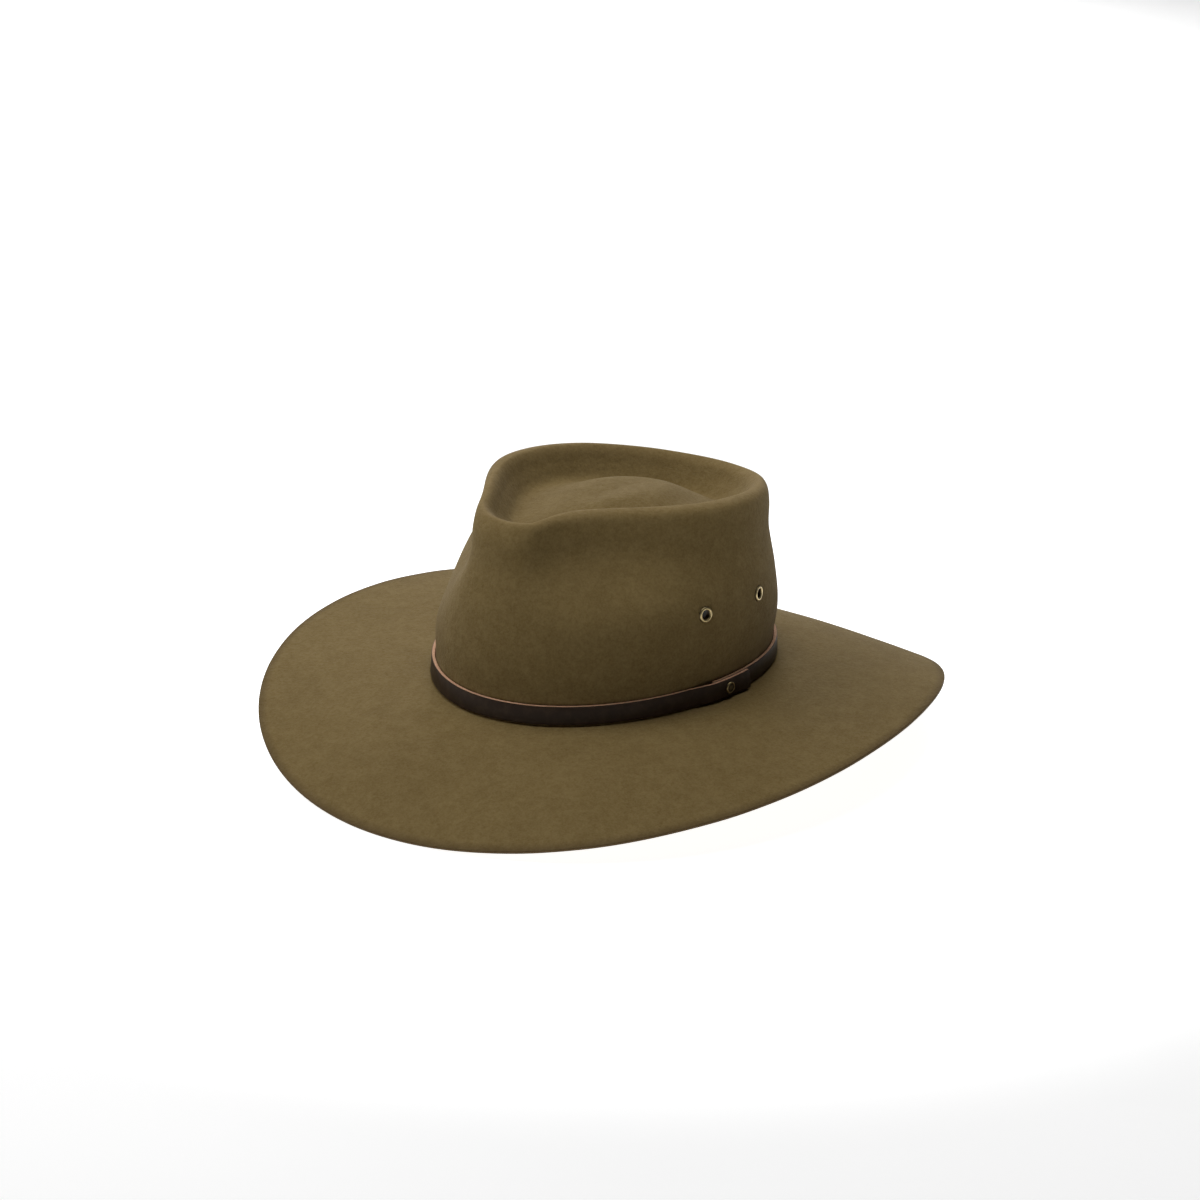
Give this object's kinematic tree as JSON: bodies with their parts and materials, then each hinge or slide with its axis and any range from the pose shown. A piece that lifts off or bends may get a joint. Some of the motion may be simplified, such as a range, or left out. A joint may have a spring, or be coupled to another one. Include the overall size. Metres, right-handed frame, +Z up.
{
  "type": "wide-brim hat",
  "caption": "Wide-brim felt hat with a teardrop crown pinched at the front, a brim that dips front and back, a narrow leather band closed by a snap, and brass vent eyelets.",
  "frame": {"origin": "middle of the brim's plan, on the surface that the hat rests on", "axes": "+Z up, -Y the hat's front, +X its wearer's left. The crown's own axis leans 2 degrees from +Z, as the hat lies on its brim."},
  "size_m": [0.3558, 0.4048, 0.1468],
  "materials": {
    "felt": "khaki-olive fur felt with a short brushed nap",
    "band_leather": "dark-brown face with raw tan cut edges",
    "antique_brass": "antiqued, dull"
  },
  "bodies": {
    "root": {"felt_body": "felt", "hat_band": "band_leather", "band_snap": "antique_brass", "eyelet_left_front": "antique_brass", "eyelet_left_back": "antique_brass", "eyelet_right_front": "antique_brass", "eyelet_right_back": "antique_brass"}
  },
  "joints": []
}
